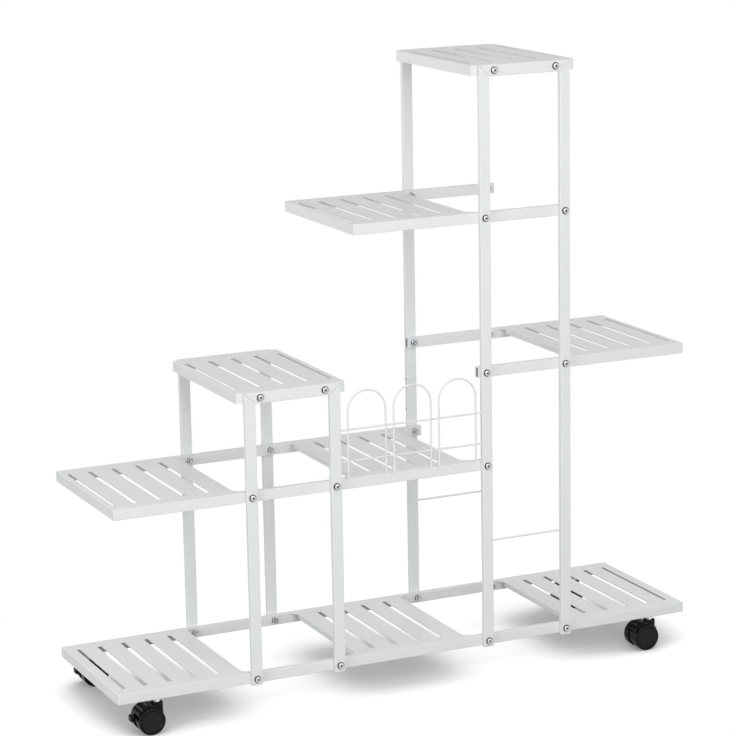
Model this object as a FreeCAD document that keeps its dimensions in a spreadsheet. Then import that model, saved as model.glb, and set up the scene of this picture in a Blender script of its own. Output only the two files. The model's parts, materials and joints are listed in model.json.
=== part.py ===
import FreeCAD, Part
import math
import os
from types import SimpleNamespace

import Sketcher

os.makedirs("parts", exist_ok=True)

doc = FreeCAD.newDocument("rolling_plant_stand")
sheet = doc.addObject("Spreadsheet::Sheet", "dims")

# Driving sizes in millimetres, angles in degrees: name, value, meaning.
SIZES = [
    ("tube_width", 18.0, "face of a post and height of a tower's top bar"),
    ("tube_depth", 8.0, "post and top bar, front to back"),
    ("tube_wall", 1.2, "wall of the posts and top bars"),
    ("tube_corner", 1.4, "rounded edges of the posts and top bars"),
    ("rail_height", 17.0, "shelf rail tube, height"),
    ("rail_depth", 10.0, "shelf rail tube, front to back"),
    ("rail_wall", 1.2, "wall of the shelf rails"),
    ("rail_corner", 1.0, "rounded edges of the shelf rails"),
    ("rail_past_post", 2.4, "free rail end beyond the edge of its last post"),
    ("sheet_thick", 1.5, "sheet metal of the shelves and trays"),
    ("shelf_depth", 267.0, "over the front and rear rails"),
    ("side_reach", 224.0, "outer post centre to the free end of a side shelf"),
    ("bottom_reach", 228.0, "outer post centre to the free end of a bottom shelf"),
    ("tower_span", 142.0, "post centre to post centre in a tower"),
    ("bay_span", 264.0, "post centre to post centre between the towers"),
    ("caster_height", 51.0, "floor to the underside of the bottom rails"),
    ("middle_rise", 292.0, "bottom rail centre to middle rail centre"),
    ("right_rise", 444.0, "bottom rail centre to right shelf rail centre"),
    ("low_top_rise", 449.0, "bottom rail centre to the middle of the low tray's rim"),
    ("upper_rise", 692.0, "bottom rail centre to upper rail centre"),
    ("tall_top_rise", 923.0, "bottom rail centre to the middle of the tall tray's rim"),
    ("post_foot", 1.5, "post end below the bottom rails"),
    ("side_panel_gap", 23.0, "post centre to the inner edge of a side shelf"),
    ("bottom_panel_gap", 17.5, "post centre to the inner edge of a bottom side shelf"),
    ("bay_panel_gap", 36.5, "post centre to the edge of a shelf between the towers"),
    ("flare_radius", 14.0, "hollow corner where a shelf edge runs out along its rail"),
    ("flare_tip", 1.0, "width left at the end of that corner"),
    ("rim_corner", 2.5, "rounded lower corners of an end rim"),
    ("fold_radius", 1.1, "outside of a fold in the sheet"),
    ("lip_height", 8.0, "folded lip at the inner edge of a shelf"),
    ("slot_width", 7.6, "slot between two slats"),
    ("slot_pitch", 39.8, "slat to slat"),
    ("last_slot", 36.0, "inner edge of a shelf to the centre of its last slot"),
    ("rim_land", 8.5, "free end to the slot beside the rim"),
    ("bottom_rim_land", 17.0, "the same on a bottom shelf"),
    ("rim_slot_width", 5.6, "slot beside the rim"),
    ("slot_land", 25.0, "rail's outer face to the end of a slot"),
    ("last_slat", 20.0, "least width of a slat at the end of a row"),
    ("tray_overhang", 11.0, "tray end beyond the edge of a post"),
    ("tray_bolt_inset", 17.0, "post centre to the tray's bolt"),
    ("bolt_size", 6.0, "fastener shank"),
    ("bolt_hole", 6.4, "clearance hole for the shank"),
    ("head_size", 11.5, "button head diameter"),
    ("head_height", 3.2, "button head height"),
    ("head_flat", 5.6, "flat on top of the button head"),
    ("head_edge", 0.7, "straight edge under the dome"),
    ("head_dome", 5.0, "radius of the dome"),
    ("socket_flats", 4.0, "hexagon socket across flats"),
    ("socket_depth", 1.9, "hexagon socket depth"),
    ("nut_flats", 10.0, "nut across flats"),
    ("nut_height", 4.4, "nut height"),
    ("bolt_past_nut", 1.2, "shank end beyond the nut"),
    ("wire_size", 3.0, "guard wire diameter"),
    ("wire_play", 0.1, "all round a wire end in its post"),
    ("wire_entry", 4.0, "wire end inside a post"),
    ("wire_setback", 3.5, "post's outer face to the cross wires' axis"),
    ("low_wire_rise", 37.4, "middle rail centre to the low guard wire"),
    ("high_wire_rise", 87.8, "middle rail centre to the high guard wire"),
    ("arch_width", 65.0, "leg to leg in a guard arch"),
    ("arch_pitch", 78.8, "arch to arch"),
    ("arch_rise", 150.0, "middle rail centre to the top of an arch"),
    ("arch_foot", 3.0, "top of the middle rail to the ends of an arch"),
    ("rod_rise", 167.5, "bottom rail centre to the cross rods"),
    ("caster_inset", 64.0, "free end of the bottom shelf to a caster's stem"),
    ("caster_trail", 14.5, "stem axis to wheel axis"),
    ("stem_size", 8.0, "caster stem in its sleeve"),
    ("thread_size", 6.0, "caster stem where it screws into the rail"),
    ("stem_play", 0.05, "stem in its sleeve, all round"),
    ("stem_rise", 12.0, "stem inside the rail"),
    ("stem_chamfer", 0.8, "chamfer on the stem's ends"),
    ("collar_size", 11.6, "bright collar under the rail"),
    ("collar_height", 3.4, "collar height"),
    ("run_gap", 0.3, "gap between pieces that turn past each other"),
    ("wheel_size", 43.5, "caster wheel diameter"),
    ("wheel_width", 13.5, "one wheel of the pair"),
    ("wheel_shoulder", 2.4, "rounded outer shoulder of the tread"),
    ("wheel_bevel", 0.8, "bevel of the inner edge of the tread"),
    ("face_rim", 2.2, "raised ring on the wheel's outer face"),
    ("face_sink", 0.9, "disc inside that ring, below it"),
    ("axle_size", 5.0, "axle diameter"),
    ("axle_play", 0.05, "axle in its housing, all round"),
    ("axle_seat", 10.5, "axle end inside a wheel"),
    ("web_width", 14.4, "housing between the wheels"),
    ("web_radius", 19.6, "housing disc between the wheels"),
    ("hood_gap", 0.6, "tread to the inside of the hood"),
    ("hood_wall", 1.6, "hood thickness"),
    ("hood_width", 33.0, "hood across the wheels"),
    ("hood_round", 1.0, "rounded side edges of the hood"),
    ("hood_start", 32.0, "angle where the hood begins, at the stem side"),
    ("hood_end", 152.0, "angle where the hood ends, at the trailing side"),
    ("neck_length", 18.0, "stem sleeve, along the travel"),
    ("neck_corner", 4.0, "rounded corners of the stem sleeve"),
    ("neck_round", 0.9, "rounded top edge of the stem sleeve"),
    ("neck_drop", 7.5, "foot of the stem sleeve above the wheel axis"),
    ("bore_floor", 2.5, "sleeve bottom below the stem"),
    ("pivot_back", 14.5, "wheel axis to the lever's pivot, along the travel"),
    ("pivot_rise", 6.5, "wheel axis to the lever's pivot, upwards"),
    ("pivot_size", 2.6, "lever pivot diameter"),
    ("pivot_length", 13.6, "lever pivot, over both cheeks"),
    ("pivot_play", 0.05, "pivot in its cheeks, all round"),
    ("barrel_size", 5.0, "lever root round the pivot"),
    ("lever_slot", 8.0, "slot in the housing for the lever"),
    ("slot_floor", 1.5, "wheel axis to the floor of that slot"),
    ("slot_roof", 11.5, "wheel axis to the roof of that slot"),
    ("slot_depth", 4.0, "pivot to the inner end of that slot"),
    ("tab_start", 23.2, "wheel axis to the inner side of the lever's tab"),
    ("tab_end", 30.5, "wheel axis to the tip of the lever's tab"),
    ("tab_width", 14.0, "lever's tab, across"),
    ("tab_top", 9.5, "wheel axis to the top of the tab"),
    ("tab_bottom", 1.0, "tab's lower edge below the wheel axis"),
    ("tab_corner", 2.2, "rounded tip of the tab"),
    ("overrun", 2.0, "how far a cut runs past the piece"),
]


# A size that carries its value together with its formula in the sheet.
class Size:
    def __init__(self, value, text):
        self.value = value
        self.text = text

    def __add__(self, other):
        other = as_size(other)
        return Size(self.value + other.value, f"({self.text} + {other.text})")

    def __sub__(self, other):
        other = as_size(other)
        return Size(self.value - other.value, f"({self.text} - {other.text})")

    def __mul__(self, other):
        other = as_size(other)
        return Size(self.value * other.value, f"({self.text} * {other.text})")

    def __truediv__(self, other):
        other = as_size(other)
        return Size(self.value / other.value, f"({self.text} / {other.text})")

    def __neg__(self):
        return Size(-self.value, f"(0 - {self.text})")

    __radd__ = __add__
    __rmul__ = __mul__


def as_size(thing):
    if isinstance(thing, Size):
        return thing
    return Size(float(thing), str(thing))


def cos_of(angle):
    return Size(math.cos(math.radians(angle.value)), f"cos({angle.text})")


def sin_of(angle):
    return Size(math.sin(math.radians(angle.value)), f"sin({angle.text})")


# How many steps of a row fit into a length, and one more.
def count_of(length, step):
    number = math.floor(length.value / step.value) + 1
    return Size(number, f"(floor({length.text} / {step.text}) + 1)")


ZERO = as_size(0)
d = SimpleNamespace()
for row, (alias, number, meaning) in enumerate(SIZES, start=1):
    sheet.set(f"A{row}", alias)
    sheet.set(f"B{row}", str(number))
    sheet.setAlias(f"B{row}", alias)
    sheet.set(f"C{row}", meaning)
    setattr(d, alias, Size(number, f"dims.{alias}"))
doc.recompute()

nodes = []


def node(label, thing):
    thing.Label = label
    nodes.append(thing)
    return thing


# Puts a finished piece at its place, turned about the upright or a given axis.
def place(thing, x, y, z, angle=0, axis=(0, 0, 1)):
    spot = [as_size(v) for v in (x, y, z)]
    turn = FreeCAD.Rotation(FreeCAD.Vector(*axis), angle)
    base = FreeCAD.Vector(*[v.value for v in spot])
    thing.Placement = FreeCAD.Placement(base, turn)
    for letter, value in zip("xyz", spot):
        if value.text != "0":
            thing.setExpression(f"Placement.Base.{letter}", value.text)
    return thing


def new_body(name):
    return doc.addObject("PartDesign::Body", name)


# A sketch on one of the body's own planes, moved along that plane's normal.
def sketch_on(body, role, name, shift=None):
    sketch = body.newObject("Sketcher::SketchObject", name)
    plane = [p for p in body.Origin.OriginFeatures if p.Role == role][0]
    sketch.AttachmentSupport = [(plane, "")]
    sketch.MapMode = "FlatFace"
    if shift is not None:
        sketch.setExpression("AttachmentOffset.Base.z", shift.text)
    return sketch


# Ties one point of a sketch to its two sheet formulas.
def tie(sketch, geo, pos, x, y):
    rules = []
    texts = []
    for kind, axis, value in (("DistanceX", -2, x), ("DistanceY", -1, y)):
        if value.text == "0":
            rules.append(Sketcher.Constraint("PointOnObject", geo, pos, axis))
            texts.append(None)
        else:
            rules.append(Sketcher.Constraint(kind, -1, 1, geo, pos, value.value))
            texts.append(value.text)
    for index, text in zip(sketch.addConstraint(rules), texts):
        if text is not None:
            sketch.setExpression(f"Constraints[{index}]", text)


# A run of edges through the corners, closed unless it is a path. An edge in
# arcs has a radius and the side of its centre: +1 left of the way, -1 right.
def add_loop(sketch, corners, arcs=None, closed=True):
    arcs = arcs or {}
    corners = [(as_size(x), as_size(y)) for x, y in corners]
    points = [FreeCAD.Vector(x.value, y.value, 0) for x, y in corners]
    count = len(points) if closed else len(points) - 1
    first = sketch.GeometryCount
    ends = []
    for i in range(count):
        start = points[i]
        stop = points[(i + 1) % len(points)]
        if i not in arcs:
            sketch.addGeometry(Part.LineSegment(start, stop), False)
            ends.append((1, 2))
            continue
        radius, side = arcs[i]
        chord = stop - start
        half = chord.Length / 2
        rise = math.sqrt(max(radius.value ** 2 - half ** 2, 0.0))
        left = FreeCAD.Vector(-chord.y, chord.x, 0).normalize()
        centre = start + chord * 0.5 + left * (rise * side)
        a = math.atan2(start.y - centre.y, start.x - centre.x)
        b = math.atan2(stop.y - centre.y, stop.x - centre.x)
        circle = Part.Circle(centre, FreeCAD.Vector(0, 0, 1), radius.value)
        if side < 0:
            a, b = b, a
        sketch.addGeometry(Part.ArcOfCircle(circle, a, b), False)
        ends.append((1, 2) if side > 0 else (2, 1))
    rules = []
    for i in range(count if closed else count - 1):
        after = (i + 1) % count
        rules.append(Sketcher.Constraint(
            "Coincident", first + i, ends[i][1], first + after, ends[after][0]))
    sketch.addConstraint(rules)
    for i, (radius, side) in arcs.items():
        index = sketch.addConstraint(
            Sketcher.Constraint("Radius", first + i, radius.value))
        sketch.setExpression(f"Constraints[{index}]", radius.text)
    for i in range(count):
        tie(sketch, first + i, ends[i][0], *corners[i])
    if not closed:
        tie(sketch, first + count - 1, ends[-1][1], *corners[-1])


def add_path(sketch, corners, arcs=None):
    add_loop(sketch, corners, arcs, closed=False)


def add_box(sketch, x0, y0, x1, y1):
    add_loop(sketch, [(x0, y0), (x1, y0), (x1, y1), (x0, y1)])


def add_round_box(sketch, x0, y0, x1, y1, corner):
    add_loop(sketch, [
        (x0 + corner, y0), (x1 - corner, y0), (x1, y0 + corner), (x1, y1 - corner),
        (x1 - corner, y1), (x0 + corner, y1), (x0, y1 - corner), (x0, y0 + corner),
    ], {1: (corner, 1), 3: (corner, 1), 5: (corner, 1), 7: (corner, 1)})


def add_circle(sketch, x, y, size):
    x = as_size(x)
    y = as_size(y)
    radius = size / 2
    geo = sketch.addGeometry(Part.Circle(
        FreeCAD.Vector(x.value, y.value, 0), FreeCAD.Vector(0, 0, 1), radius.value), False)
    index = sketch.addConstraint(Sketcher.Constraint("Radius", geo, radius.value))
    sketch.setExpression(f"Constraints[{index}]", radius.text)
    tie(sketch, geo, 3, x, y)


def add_hexagon(sketch, flats):
    reach = flats / as_size(2) / cos_of(as_size(30))
    corners = [(reach * cos_of(as_size(60 * k)), reach * sin_of(as_size(60 * k)))
               for k in range(6)]
    add_loop(sketch, corners)


def pad(body, sketch, length, both=False, back=False):
    feature = body.newObject("PartDesign::Pad", sketch.Name + "_pad")
    feature.Profile = sketch
    feature.setExpression("Length", length.text)
    feature.SideType = "Symmetric" if both else "One side"
    feature.Reversed = back
    return feature


# A cut is compared with the solid before it, because one that points away
# from the solid would take nothing off.
cuts = []


def pocket(body, sketch, length, both=False, back=False):
    before = body.Tip
    feature = body.newObject("PartDesign::Pocket", sketch.Name + "_cut")
    feature.Profile = sketch
    feature.setExpression("Length", length.text)
    feature.SideType = "Symmetric" if both else "One side"
    feature.Reversed = back
    cuts.append((before, feature))
    return feature


def revolve(body, sketch):
    feature = body.newObject("PartDesign::Revolution", sketch.Name + "_turn")
    feature.Profile = sketch
    feature.ReferenceAxis = (sketch, ["V_Axis"])
    feature.Angle = 360
    return feature


# Rounds the edges that a test picks from the body as it is so far.
def round_edges(body, name, radius, picked):
    doc.recompute()
    base = body.Tip
    names = [f"Edge{k}" for k, edge in enumerate(base.Shape.Edges, start=1) if picked(edge)]
    feature = body.newObject("PartDesign::Fillet", name)
    feature.Base = (base, names)
    feature.setExpression("Radius", radius.text)
    return feature


# Tells whether all of an edge lies at one place along x, y or z.
def lies_at(edge, axis, size):
    spots = [getattr(v.Point, axis) for v in edge.Vertexes]
    spots.append(getattr(edge.CenterOfMass, axis))
    return all(round(s - size.value, 3) == 0 for s in spots)


# Places that many pieces share.
post_half = d.tube_width / 2
rail_half = d.rail_height / 2
half_depth = d.shelf_depth / 2
outer_face = half_depth + d.tube_depth
inner_face = half_depth - d.rail_depth
bay_half = d.bay_span / 2
post_x = {
    "a": -bay_half - d.tower_span,
    "b": -bay_half,
    "c": bay_half,
    "d": bay_half + d.tower_span,
}
left_end = post_x["a"] - d.side_reach
right_end = post_x["d"] + d.side_reach
upper_end = post_x["c"] - d.side_reach
foot_left = post_x["a"] - d.bottom_reach
foot_right = post_x["d"] + d.bottom_reach
bottom_z = d.caster_height + rail_half
level = {
    "bottom": bottom_z,
    "middle": bottom_z + d.middle_rise,
    "right": bottom_z + d.right_rise,
    "upper": bottom_z + d.upper_rise,
}
tray_top = {
    "low": bottom_z + d.low_top_rise + rail_half,
    "tall": bottom_z + d.tall_top_rise + rail_half,
}
towers = {"low": ("a", "b"), "tall": ("c", "d")}
foot_z = d.caster_height - d.post_foot
sides = {"front": -1, "rear": 1}
crossings = {
    "a": ("bottom", "middle"),
    "b": ("bottom", "middle"),
    "c": ("bottom", "middle", "right", "upper"),
    "d": ("bottom", "right", "upper"),
}
guard_heights = (level["middle"] + d.low_wire_rise, level["middle"] + d.high_wire_rise)
rod_height = level["bottom"] + d.rod_rise
# Cross wires that enter each post: height and the side they come from.
wire_ends = {
    "a": [],
    "b": [(z, 1) for z in guard_heights],
    "c": [(z, -1) for z in guard_heights] + [(rod_height, 1)],
    "d": [(rod_height, -1)],
}
wire_hole = d.wire_size + d.wire_play * 2


# A post is a rectangular tube, open at the foot and mitred at the top towards
# its outer side, with a hole through it at every rail.
def make_post(label, tower, letter, side):
    turned = -sides[side]
    outer = -turned if letter in ("a", "c") else turned
    length = tray_top[tower] - foot_z
    body = new_body(label)
    section = sketch_on(body, "XY_Plane", label + "_section")
    add_round_box(section, -post_half, ZERO, post_half, d.tube_depth, d.tube_corner)
    add_box(section, -post_half + d.tube_wall, d.tube_wall,
            post_half - d.tube_wall, d.tube_depth - d.tube_wall)
    pad(body, section, length)
    mitre = sketch_on(body, "XZ_Plane", label + "_mitre")
    reach = post_half + d.overrun
    high = length + d.overrun
    low = length - d.tube_width - d.overrun
    add_loop(mitre, [(reach * outer, high), (-reach * outer, high), (-reach * outer, low)])
    pocket(body, mitre, (d.tube_depth + d.overrun) * 2, both=True)
    holes = sketch_on(body, "XZ_Plane", label + "_bolt_holes")
    for name in crossings[letter]:
        add_circle(holes, 0, level[name] - foot_z, d.bolt_hole)
    pocket(body, holes, (d.tube_depth + d.overrun) * 2, both=True)
    if wire_ends[letter]:
        for sign in (-1, 1):
            ends = [z for z, way in wire_ends[letter] if way * turned == sign]
            if not ends:
                continue
            tag = "right" if sign > 0 else "left"
            entry = sketch_on(body, "YZ_Plane", f"{label}_wire_holes_{tag}")
            for z in ends:
                add_circle(entry, d.wire_setback, z - foot_z, wire_hole)
            pocket(body, entry, post_half + d.overrun, back=sign > 0)
    place(body, post_x[letter], outer_face * -turned, foot_z, 0 if side == "front" else 180)
    return node(label, body)


# The top bar of a tower's frame, mitred at both ends to meet the posts.
def make_top_bar(label, tower, side):
    half = d.tower_span / 2
    body = new_body(label)
    section = sketch_on(body, "YZ_Plane", label + "_section")
    add_round_box(section, ZERO, -d.tube_width, d.tube_depth, ZERO, d.tube_corner)
    add_box(section, d.tube_wall, -d.tube_width + d.tube_wall,
            d.tube_depth - d.tube_wall, -d.tube_wall)
    pad(body, section, (half + post_half) * 2, both=True)
    mitres = sketch_on(body, "XZ_Plane", label + "_mitres")
    reach = half + post_half + d.overrun
    below = d.tube_width + d.overrun
    for sign in (-1, 1):
        add_loop(mitres, [
            (reach * sign, d.overrun), (reach * sign, -below),
            ((half - post_half - d.overrun) * sign, -below),
        ])
    pocket(body, mitres, (d.tube_depth + d.overrun) * 2, both=True)
    holes = sketch_on(body, "XZ_Plane", label + "_bolt_holes")
    for sign in (-1, 1):
        add_circle(holes, (half - d.tray_bolt_inset) * sign, -post_half, d.bolt_hole)
    pocket(body, holes, (d.tube_depth + d.overrun) * 2, both=True)
    first, second = towers[tower]
    middle = (post_x[first] + post_x[second]) / 2
    y = -outer_face if side == "front" else half_depth
    place(body, middle, y, tray_top[tower])
    return node(label, body)


for tower, letters in towers.items():
    for side in sides:
        make_post(f"{tower}_{side}_post_left", tower, letters[0], side)
        make_post(f"{tower}_{side}_post_right", tower, letters[1], side)
        make_top_bar(f"{tower}_{side}_top_bar", tower, side)

# Rails: where each begins and ends. Ends at a shelf's rim stop at the rim's
# sheet, free ends stand a little past their last post.
past = post_half + d.rail_past_post
rail_runs = {
    "bottom": (foot_left + d.sheet_thick, foot_right - d.sheet_thick, "abcd"),
    "middle": (left_end + d.sheet_thick, post_x["c"] + past, "abc"),
    "right": (post_x["c"] - past, right_end - d.sheet_thick, "cd"),
    "upper": (upper_end + d.sheet_thick, post_x["d"] + past, "cd"),
}
stem_x = {"left": foot_left + d.caster_inset, "right": foot_right - d.caster_inset}


def make_rail(label, name, side):
    start, stop, letters = rail_runs[name]
    body = new_body(label)
    section = sketch_on(body, "YZ_Plane", label + "_section")
    add_round_box(section, ZERO, -rail_half, d.rail_depth, rail_half, d.rail_corner)
    add_box(section, d.rail_wall, -rail_half + d.rail_wall,
            d.rail_depth - d.rail_wall, rail_half - d.rail_wall)
    pad(body, section, stop - start)
    holes = sketch_on(body, "XZ_Plane", label + "_bolt_holes")
    for letter in letters:
        add_circle(holes, post_x[letter] - start, 0, d.bolt_hole)
    pocket(body, holes, (d.rail_depth + d.overrun) * 2, both=True)
    if name == "bottom":
        stems = sketch_on(body, "XY_Plane", label + "_stem_holes")
        for x in stem_x.values():
            add_circle(stems, x - start, d.rail_depth / 2, d.thread_size)
        pocket(body, stems, rail_half + d.overrun)
    y = -half_depth if side == "front" else inner_face
    place(body, start, y, level[name])
    return node(label, body)


for name in rail_runs:
    for side in sides:
        make_rail(f"{name}_rail_{side}", name, side)


# Slots across a sheet, one cut repeated along the shelf.
def cut_slots(body, label, first, count):
    first = as_size(first)
    slot = sketch_on(body, "XY_Plane", label + "_slot")
    end = half_depth - d.slot_land
    add_box(slot, first - d.slot_width / 2, -end, first + d.slot_width / 2, end)
    cut = pocket(body, slot, d.sheet_thick + d.overrun)
    row = body.newObject("PartDesign::LinearPattern", label + "_slot_row")
    row.Originals = [cut]
    row.Direction = (slot, ["H_Axis"])
    row.Mode = "Spacing"
    row.setExpression("Offset", d.slot_pitch.text)
    row.setExpression("Occurrences", count.text)
    body.Tip = row
    return row


# A row of slots about the middle of a shelf, between two edges.
def cut_middle_slots(body, label, edge):
    room = (edge - d.last_slat) * 2 - d.slot_width
    count = count_of(room, d.slot_pitch)
    cut_slots(body, label, d.slot_pitch * (count - 1) / -2, count)


def cut_rim_slot(body, label, start):
    slot = sketch_on(body, "XY_Plane", label)
    end = half_depth - d.slot_land
    add_box(slot, start, -end, start + d.rim_slot_width, end)
    pocket(body, slot, d.sheet_thick + d.overrun)


# A lip folded down from the inner edge of a shelf.
def fold_lip(body, label, x):
    lip = sketch_on(body, "YZ_Plane", label, x)
    end = inner_face - d.flare_tip - d.flare_radius
    add_box(lip, -end, -d.lip_height, end, ZERO)
    pad(body, lip, d.sheet_thick)


# Side shelves: length from the free end to the inner edge, and the land
# outside the rim slot.
side_kind = (d.side_reach - d.side_panel_gap, d.rim_land)
bottom_kind = (d.bottom_reach - d.bottom_panel_gap, d.bottom_rim_land)


# A side shelf lies flush between its rails. Its free end is folded down into
# a rim that closes the rails, its inner corners run out along the rails.
def make_side_panel(label, name, kind, x, angle):
    body = new_body(label)
    length, land = kind
    tip = length + d.flare_radius
    edge = inner_face - d.flare_tip
    plate = sketch_on(body, "XY_Plane", label + "_plate")
    add_loop(plate, [
        (ZERO, -inner_face), (tip, -inner_face), (tip, -edge),
        (length, -edge + d.flare_radius), (length, edge - d.flare_radius),
        (tip, edge), (tip, inner_face), (ZERO, inner_face),
    ], {2: (d.flare_radius, -1), 4: (d.flare_radius, -1)})
    pad(body, plate, d.sheet_thick, back=True)
    rim = sketch_on(body, "YZ_Plane", label + "_rim")
    low = -d.rail_height
    add_loop(rim, [
        (-half_depth, -d.rail_corner), (-half_depth, low + d.rim_corner),
        (-half_depth + d.rim_corner, low), (half_depth - d.rim_corner, low),
        (half_depth, low + d.rim_corner), (half_depth, -d.rail_corner),
        (half_depth - d.rail_corner, ZERO), (-half_depth + d.rail_corner, ZERO),
    ], {1: (d.rim_corner, 1), 3: (d.rim_corner, 1),
        5: (d.rail_corner, 1), 7: (d.rail_corner, 1)})
    pad(body, rim, d.sheet_thick)
    fold_lip(body, label + "_lip", length - d.sheet_thick)
    cut_rim_slot(body, label + "_rim_slot", land)
    last = length - d.last_slot
    room = last - land - d.rim_slot_width - d.last_slat - d.slot_width / 2
    count = count_of(room, d.slot_pitch)
    cut_slots(body, label, last - d.slot_pitch * (count - 1), count)
    round_edges(body, label + "_fold", d.fold_radius,
                lambda edge: lies_at(edge, "x", ZERO) and lies_at(edge, "z", ZERO))
    place(body, x, 0, level[name] + rail_half, angle)
    return node(label, body)


# A shelf between the towers runs out along the rails at both ends.
def make_bay_panel(label, name):
    body = new_body(label)
    half = bay_half - d.bay_panel_gap
    tip = half + d.flare_radius
    edge = inner_face - d.flare_tip
    plate = sketch_on(body, "XY_Plane", label + "_plate")
    add_loop(plate, [
        (-tip, -inner_face), (tip, -inner_face), (tip, -edge),
        (half, -edge + d.flare_radius), (half, edge - d.flare_radius),
        (tip, edge), (tip, inner_face), (-tip, inner_face), (-tip, edge),
        (-half, edge - d.flare_radius), (-half, -edge + d.flare_radius), (-tip, -edge),
    ], {2: (d.flare_radius, -1), 4: (d.flare_radius, -1),
        8: (d.flare_radius, -1), 10: (d.flare_radius, -1)})
    pad(body, plate, d.sheet_thick, back=True)
    fold_lip(body, label + "_lip_left", -half)
    fold_lip(body, label + "_lip_right", half - d.sheet_thick)
    cut_middle_slots(body, label, half)
    place(body, 0, 0, level[name] + rail_half)
    return node(label, body)


make_side_panel("bottom_left_shelf", "bottom", bottom_kind, foot_left, 0)
make_bay_panel("bottom_middle_shelf", "bottom")
make_side_panel("bottom_right_shelf", "bottom", bottom_kind, foot_right, 180)
make_side_panel("middle_left_shelf", "middle", side_kind, left_end, 0)
make_bay_panel("middle_shelf", "middle")
make_side_panel("right_shelf", "right", side_kind, right_end, 180)
make_side_panel("upper_left_shelf", "upper", side_kind, upper_end, 0)


# A top tray is one sheet folded down on all four sides.
def make_tray(label, tower):
    body = new_body(label)
    half = d.tower_span / 2 + post_half + d.tray_overhang
    block = sketch_on(body, "XY_Plane", label + "_block")
    add_box(block, -half, -half_depth, half, half_depth)
    pad(body, block, d.rail_height, back=True)
    hollow = sketch_on(body, "XY_Plane", label + "_hollow", -d.rail_height)
    add_box(hollow, -half + d.sheet_thick, -half_depth + d.sheet_thick,
            half - d.sheet_thick, half_depth - d.sheet_thick)
    pocket(body, hollow, d.rail_height - d.sheet_thick, back=True)
    walls = [("x", -half), ("x", half), ("y", -half_depth), ("y", half_depth)]
    round_edges(body, label + "_folds", d.fold_radius,
                lambda edge: any(lies_at(edge, *wall) for wall in walls)
                and not lies_at(edge, "z", -d.rail_height))
    holes = sketch_on(body, "XZ_Plane", label + "_bolt_holes")
    for sign in (-1, 1):
        add_circle(holes, (d.tower_span / 2 - d.tray_bolt_inset) * sign, -post_half, d.bolt_hole)
    pocket(body, holes, (half_depth + d.overrun) * 2, both=True)
    cut_rim_slot(body, label + "_rim_slot_left", -half + d.rim_land)
    cut_rim_slot(body, label + "_rim_slot_right", half - d.rim_land - d.rim_slot_width)
    cut_middle_slots(body, label, half - d.rim_land - d.rim_slot_width)
    first, second = towers[tower]
    place(body, (post_x[first] + post_x[second]) / 2, 0, tray_top[tower])
    return node(label, body)


for tower in towers:
    make_tray(f"{tower}_tray", tower)


# Button-head bolt along +Y, its head standing on the face at y = 0.
def make_bolt(name, grip):
    body = new_body(name)
    profile = sketch_on(body, "XY_Plane", name + "_profile")
    shank = d.bolt_size / 2
    length = grip + d.nut_height + d.bolt_past_nut
    add_loop(profile, [
        (ZERO, -d.head_height), (d.head_flat / 2, -d.head_height),
        (d.head_size / 2, -d.head_edge), (d.head_size / 2, ZERO),
        (shank, ZERO), (shank, length), (ZERO, length),
    ], {1: (d.head_dome, 1)})
    revolve(body, profile)
    socket = sketch_on(body, "XZ_Plane", name + "_socket", d.head_height)
    add_hexagon(socket, d.socket_flats)
    pocket(body, socket, d.socket_depth)
    return body


def make_nut(name):
    body = new_body(name)
    face = sketch_on(body, "XZ_Plane", name + "_face")
    add_hexagon(face, d.nut_flats)
    add_circle(face, 0, 0, d.bolt_size)
    pad(body, face, d.nut_height, back=True)
    return body


# Copies of one piece at many places, kept together as one group.
def make_group(label, master, spots):
    copies = []
    for k, (x, y, z, angle) in enumerate(spots, start=1):
        copy = doc.addObject("App::Link", f"{label}_{k}")
        copy.LinkedObject = master
        place(copy, x, y, z, angle)
        copies.append(copy)
    group = doc.addObject("Part::Compound", label)
    group.Links = copies
    return node(label, group)


def both_faces(x, y, z):
    return [(x, -y, z, 0), (x, y, z, 180)]


rail_points = [(post_x[letter], level[name])
               for letter, names in crossings.items() for name in names]
tray_points = [(post_x[letter] + d.tray_bolt_inset * sign, tray_top[tower] - post_half)
               for tower, letters in towers.items() for letter, sign in zip(letters, (1, -1))]
rail_bolt = make_bolt("rail_bolt_pattern", d.tube_depth + d.rail_depth)
tray_bolt = make_bolt("tray_bolt_pattern", d.tube_depth + d.sheet_thick)
nut = make_nut("nut_pattern")
make_group("rail_bolts", rail_bolt,
           [s for x, z in rail_points for s in both_faces(x, outer_face, z)])
make_group("tray_bolts", tray_bolt,
           [s for x, z in tray_points for s in both_faces(x, outer_face, z)])
make_group("nuts", nut,
           [s for x, z in rail_points for s in both_faces(x, inner_face, z)]
           + [s for x, z in tray_points
              for s in both_faces(x, half_depth - d.sheet_thick, z)])


# One arch of the guard: a wire bent into a round-topped loop.
def make_arch(name):
    body = new_body(name)
    half = d.arch_width / 2
    straight = d.arch_rise - rail_half - d.arch_foot - d.wire_size / 2 - half
    path = sketch_on(body, "XZ_Plane", name + "_path")
    add_path(path, [
        (-half, ZERO), (-half, straight), (ZERO, straight + half), (half, straight), (half, ZERO),
    ], {1: (half, -1), 2: (half, -1)})
    section = sketch_on(body, "XY_Plane", name + "_section")
    add_circle(section, -half, 0, d.wire_size)
    sweep = body.newObject("PartDesign::AdditivePipe", name + "_sweep")
    sweep.Profile = section
    sweep.Spine = (path, ["Edge1", "Edge2", "Edge3", "Edge4"])
    return body


arch = make_arch("arch_pattern")
# The arches hang in front of the cross wires, clear of the rail.
arch_y = -outer_face + d.wire_setback - d.wire_size
make_group("guard_arches", arch,
           [(d.arch_pitch * k, arch_y, level["middle"] + rail_half + d.arch_foot, 0)
            for k in (-1, 0, 1)])


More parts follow.
